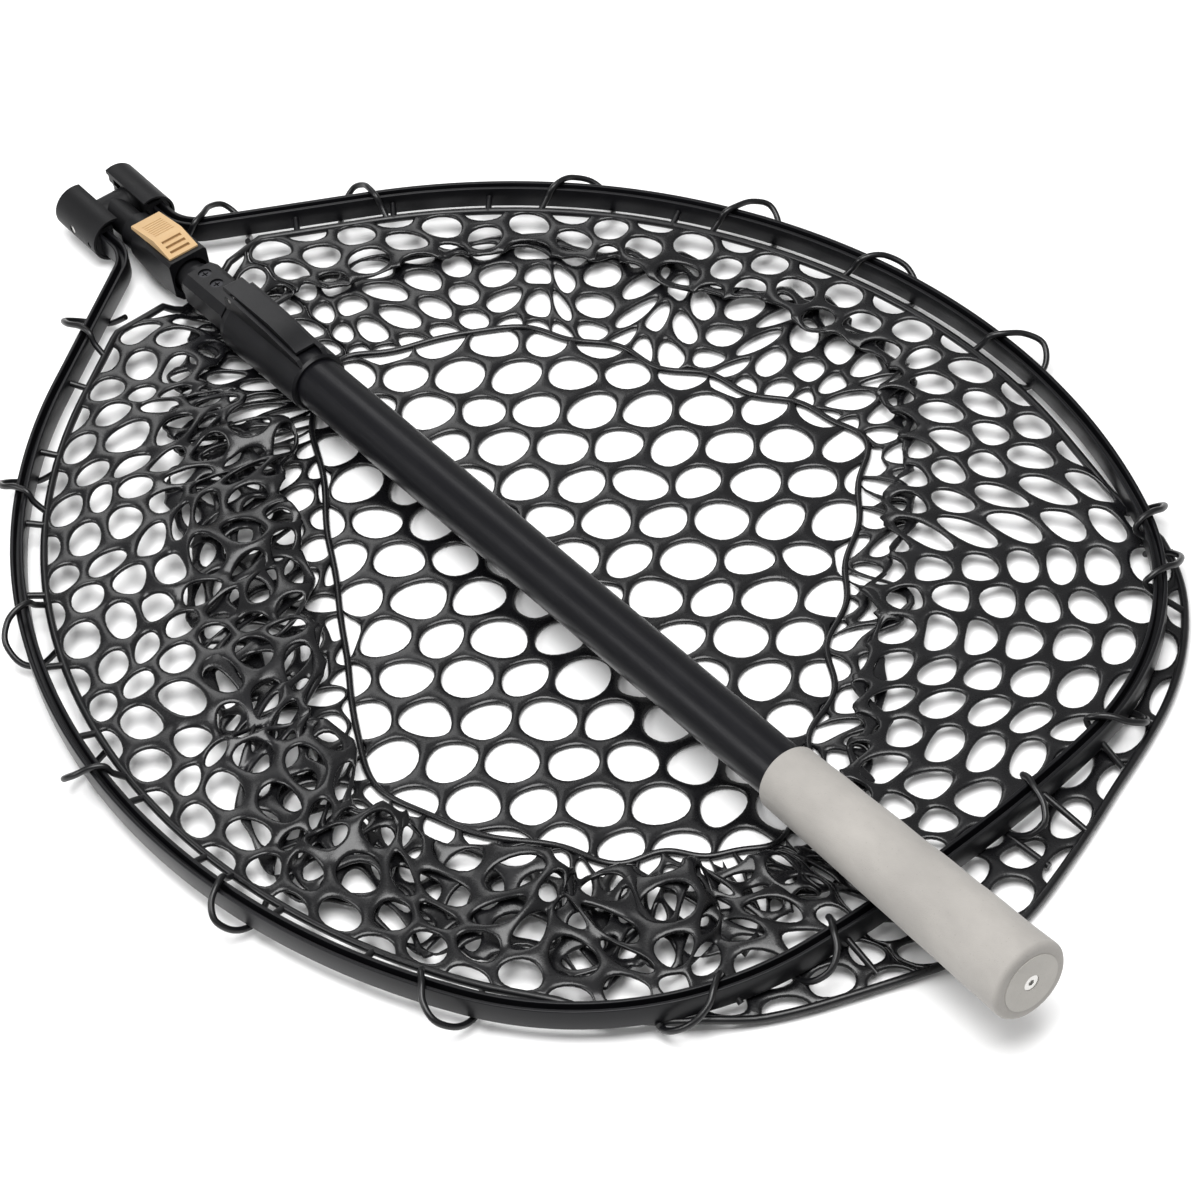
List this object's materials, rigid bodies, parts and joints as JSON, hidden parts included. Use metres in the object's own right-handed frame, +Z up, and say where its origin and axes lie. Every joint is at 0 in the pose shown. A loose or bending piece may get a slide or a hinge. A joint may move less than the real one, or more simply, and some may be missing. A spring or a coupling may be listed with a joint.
{
  "type": "folding landing net",
  "caption": "Folding landing net: H-section hoop on a pivoting head with a lock collar, telescopic cam-locked handle with foam grip, rubber mesh bag",
  "frame": {"origin": "centre of the underside of the whole folded net's bounding box, on the surface it lies on", "axes": "+X from the pivot along the handle towards the grip, +Y across the hoop, +Z up"},
  "size_m": [0.762, 0.5081, 0.0623],
  "materials": {
    "anodised_black": "black anodised, semi-gloss",
    "tube_black": "matt black with fine lengthwise lines",
    "moulded_black": "glass-filled nylon, fine moulded grain",
    "lever_black": "satin moulded plastic",
    "tan_plastic": "smooth tan plastic, grooved",
    "bright_steel": "plain steel",
    "dark_steel": "dark zinc",
    "nylon_white": "natural nylon",
    "nylon_grey": "dark nylon",
    "ring_rubber": "matt rubber",
    "mesh_rubber": "soft moulded rubber mesh, slightly glossy",
    "foam_grey": "closed-cell foam, light warm grey",
    "foam_cap": "pale rubber cap"
  },
  "bodies": {
    "hoop": {"hoop_frame": "anodised_black", "left_shell": "moulded_black", "right_shell": "moulded_black", "arm_rivets": "bright_steel", "hinge_pin": "bright_steel", "thrust_washers": "nylon_white", "net_rim": "mesh_rubber", "net_loops": "mesh_rubber", "net_wall": "mesh_rubber", "net_bottom": "mesh_rubber"},
    "head": {"pivot_neck": "moulded_black", "head_block": "moulded_black", "block_screws": "dark_steel", "inner_tube": "anodised_black", "guide_bush": "nylon_grey"},
    "collar": {"lock_collar": "moulded_black", "thumb_pad": "tan_plastic", "friction_ring": "ring_rubber"},
    "handle": {"outer_tube": "tube_black", "clamp_sleeve": "moulded_black", "pressure_pad": "ring_rubber", "lever_pin": "bright_steel", "grip": "foam_grey", "end_cap": "foam_cap", "cap_screw": "dark_steel"},
    "lever": {"cam_lever": "lever_black"}
  },
  "joints": [
    {"name": "fold", "type": "hinge", "parent": "hoop", "child": "head", "pos_m": [-0.36405, -0.02202, 0.015], "axis": [0, -1, 0], "range_deg": [0, 177.9]},
    {"name": "collar_slide", "type": "slide", "parent": "head", "child": "collar", "axis": [0.9993, 0, 0.037], "range_m": [-0.015, 0.005]},
    {"name": "telescope", "type": "slide", "parent": "head", "child": "handle", "axis": [0.9993, 0, 0.037], "range_m": [0, 0.395]},
    {"name": "cam_lever_open", "type": "hinge", "parent": "handle", "child": "lever", "pos_m": [-0.22888, -0.02202, 0.03982], "axis": [0, -1, 0], "range_deg": [0, 55]}
  ]
}
